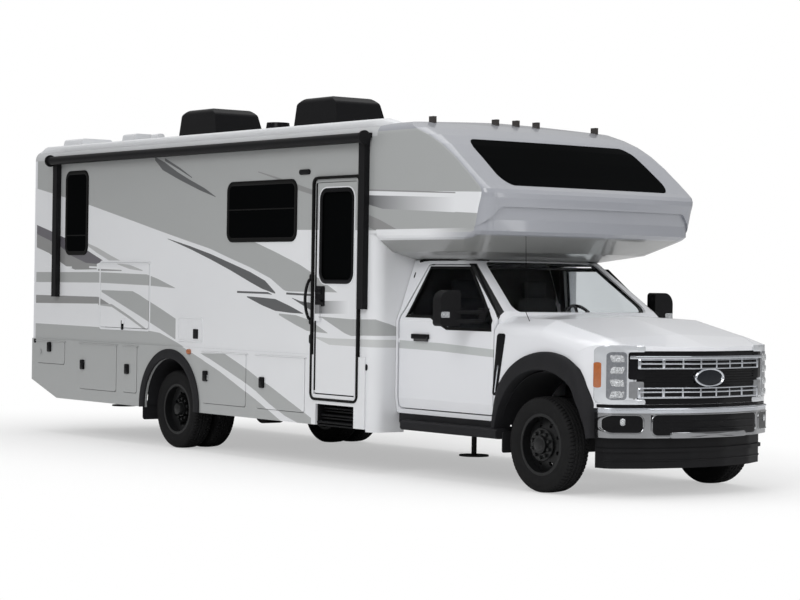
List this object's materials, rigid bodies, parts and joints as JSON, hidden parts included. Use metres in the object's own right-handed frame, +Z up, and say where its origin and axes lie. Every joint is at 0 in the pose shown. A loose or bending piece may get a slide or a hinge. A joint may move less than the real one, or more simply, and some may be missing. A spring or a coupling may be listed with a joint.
{
  "type": "cab-over-bunk motorhome",
  "caption": "Motorhome with a bunk over the cab, on a medium-duty truck chassis with twin rear wheels, in white and grey.",
  "frame": {"origin": "on the ground, under the middle of the overall length and width", "axes": "+X forward to the front bumper, +Y to the vehicle's left, +Z up"},
  "size_m": [9.7, 2.783, 3.634],
  "materials": {
    "tyre": "matte",
    "black_steel": "satin",
    "engine_iron": "matte",
    "cab_white": "gloss",
    "chrome": "polished",
    "black_plastic": "matte",
    "dark_interior": "matte",
    "coach_white": "gloss",
    "nose_silver": "gloss",
    "skirt_grey": "gloss",
    "glass": "gloss",
    "lamp": "gloss"
  },
  "bodies": {
    "body": {"chassis_frame": "black_steel", "axles": "black_steel", "engine_block": "engine_iron", "underbody_tanks": "black_steel", "cab_shell": "cab_white", "front_clip": "cab_white", "grille": "chrome", "front_bumper": "chrome", "air_dam": "black_plastic", "flares_and_boards": "black_plastic", "cab_interior": "dark_interior", "coach_floor": "coach_white", "coach_rear_wall": "coach_white", "coach_front_wall": "coach_white", "coach_roof": "coach_white", "nose_cap": "nose_silver", "fixed_glass": "glass", "lamps": "lamp", "skirts": "skirt_grey", "lockers": "dark_interior", "entry_step_and_handle": "black_plastic", "awning": "black_plastic", "rooftop_units": "black_plastic", "roof_vents": "coach_white", "rear_bumper": "skirt_grey", "coach_wall_right": "coach_white", "coach_wall_left": "coach_white"},
    "knuckle_right": {"knuckle_right": "black_steel"},
    "front_wheel_right": {"front_tyre_right": "tyre", "front_rim_right": "black_steel"},
    "rear_wheels_right": {"rear_tyres_right": "tyre", "rear_rims_right": "black_steel"},
    "cab_door_right": {"cab_door_right": "cab_white", "cab_door_glass_right": "glass", "mirror_right": "black_plastic"},
    "jack_ram_front_right": {"jack_ram_front_right": "black_steel"},
    "jack_ram_rear_right": {"jack_ram_rear_right": "black_steel"},
    "knuckle_left": {"knuckle_left": "black_steel"},
    "front_wheel_left": {"front_tyre_left": "tyre", "front_rim_left": "black_steel"},
    "rear_wheels_left": {"rear_tyres_left": "tyre", "rear_rims_left": "black_steel"},
    "cab_door_left": {"cab_door_left": "cab_white", "cab_door_glass_left": "glass", "mirror_left": "black_plastic"},
    "jack_ram_front_left": {"jack_ram_front_left": "black_steel"},
    "jack_ram_rear_left": {"jack_ram_rear_left": "black_steel"},
    "bonnet": {"bonnet": "cab_white"},
    "entry_door": {"entry_door": "coach_white", "entry_door_glass": "glass"},
    "locker_door_right_front": {"locker_door_right_front": "skirt_grey"},
    "locker_door_right_middle": {"locker_door_right_middle": "skirt_grey"},
    "locker_door_right_narrow": {"locker_door_right_narrow": "skirt_grey"},
    "locker_door_right_rear": {"locker_door_right_rear": "skirt_grey"},
    "locker_door_right_corner": {"locker_door_right_corner": "skirt_grey"},
    "locker_door_left_front": {"locker_door_left_front": "skirt_grey"},
    "locker_door_left_rear": {"locker_door_left_rear": "skirt_grey"},
    "kitchen_door": {"kitchen_door": "coach_white"}
  },
  "joints": [
    {"name": "steer_right", "type": "hinge", "parent": "body", "child": "knuckle_right", "pos_m": [3.88, -0.815, 0.405], "axis": [0, 0, 1], "range_deg": [-40, 40]},
    {"name": "front_wheel_spin_right", "type": "hinge", "parent": "knuckle_right", "child": "front_wheel_right", "pos_m": [3.88, -0.955, 0.405], "axis": [0, 1, 0], "continuous": true},
    {"name": "rear_wheels_spin_right", "type": "hinge", "parent": "body", "child": "rear_wheels_right", "pos_m": [-1.77, -0.94, 0.405], "axis": [0, 1, 0], "continuous": true},
    {"name": "cab_door_hinge_right", "type": "hinge", "parent": "body", "child": "cab_door_right", "pos_m": [3.178, -1, 1.4], "axis": [0, 0, 1], "range_deg": [0, 68]},
    {"name": "jack_front_right", "type": "slide", "parent": "body", "child": "jack_ram_front_right", "axis": [0, 0, -1], "range_m": [0, 0.18]},
    {"name": "jack_rear_right", "type": "slide", "parent": "body", "child": "jack_ram_rear_right", "axis": [0, 0, -1], "range_m": [0, 0.304]},
    {"name": "steer_left", "type": "hinge", "parent": "body", "child": "knuckle_left", "pos_m": [3.88, 0.815, 0.405], "axis": [0, 0, 1], "range_deg": [-40, 40]},
    {"name": "front_wheel_spin_left", "type": "hinge", "parent": "knuckle_left", "child": "front_wheel_left", "pos_m": [3.88, 0.955, 0.405], "axis": [0, 1, 0], "continuous": true},
    {"name": "rear_wheels_spin_left", "type": "hinge", "parent": "body", "child": "rear_wheels_left", "pos_m": [-1.77, 0.94, 0.405], "axis": [0, 1, 0], "continuous": true},
    {"name": "cab_door_hinge_left", "type": "hinge", "parent": "body", "child": "cab_door_left", "pos_m": [3.178, 1, 1.4], "axis": [0, 0, -1], "range_deg": [0, 68]},
    {"name": "jack_front_left", "type": "slide", "parent": "body", "child": "jack_ram_front_left", "axis": [0, 0, -1], "range_m": [0, 0.18]},
    {"name": "jack_rear_left", "type": "slide", "parent": "body", "child": "jack_ram_rear_left", "axis": [0, 0, -1], "range_m": [0, 0.304]},
    {"name": "bonnet_hinge", "type": "hinge", "parent": "body", "child": "bonnet", "pos_m": [3.18, 0, 1.47], "axis": [0, -1, 0], "range_deg": [0, 50]},
    {"name": "entry_door_hinge", "type": "hinge", "parent": "body", "child": "entry_door", "pos_m": [1.515, -1.272, 1.6875], "axis": [0, 0, 1], "range_deg": [0, 150]},
    {"name": "locker_door_right_front_hinge", "type": "hinge", "parent": "body", "child": "locker_door_right_front", "pos_m": [0.285, -1.275, 1.025], "axis": [-1, 0, 0], "range_deg": [0, 88]},
    {"name": "locker_door_right_middle_hinge", "type": "hinge", "parent": "body", "child": "locker_door_right_middle", "pos_m": [-0.7175, -1.275, 1.025], "axis": [-1, 0, 0], "range_deg": [0, 88]},
    {"name": "locker_door_right_narrow_hinge", "type": "hinge", "parent": "body", "child": "locker_door_right_narrow", "pos_m": [-2.5775, -1.275, 1.035], "axis": [-1, 0, 0], "range_deg": [0, 88]},
    {"name": "locker_door_right_rear_hinge", "type": "hinge", "parent": "body", "child": "locker_door_right_rear", "pos_m": [-3.275, -1.275, 1.035], "axis": [-1, 0, 0], "range_deg": [0, 88]},
    {"name": "locker_door_right_corner_hinge", "type": "hinge", "parent": "body", "child": "locker_door_right_corner", "pos_m": [-4.3525, -1.275, 1.035], "axis": [-1, 0, 0], "range_deg": [0, 88]},
    {"name": "locker_door_left_front_hinge", "type": "hinge", "parent": "body", "child": "locker_door_left_front", "pos_m": [0.285, 1.275, 1.025], "axis": [1, 0, 0], "range_deg": [0, 88]},
    {"name": "locker_door_left_rear_hinge", "type": "hinge", "parent": "body", "child": "locker_door_left_rear", "pos_m": [-3.275, 1.275, 1.035], "axis": [1, 0, 0], "range_deg": [0, 88]},
    {"name": "kitchen_door_hinge", "type": "hinge", "parent": "body", "child": "kitchen_door", "pos_m": [-2.748, -1.26, 1.917], "axis": [-1, 0, 0], "range_deg": [0, 88]}
  ],
  "couplings": [
    {"joint": "steer_left", "follows": "steer_right", "ratio": 1}
  ]
}
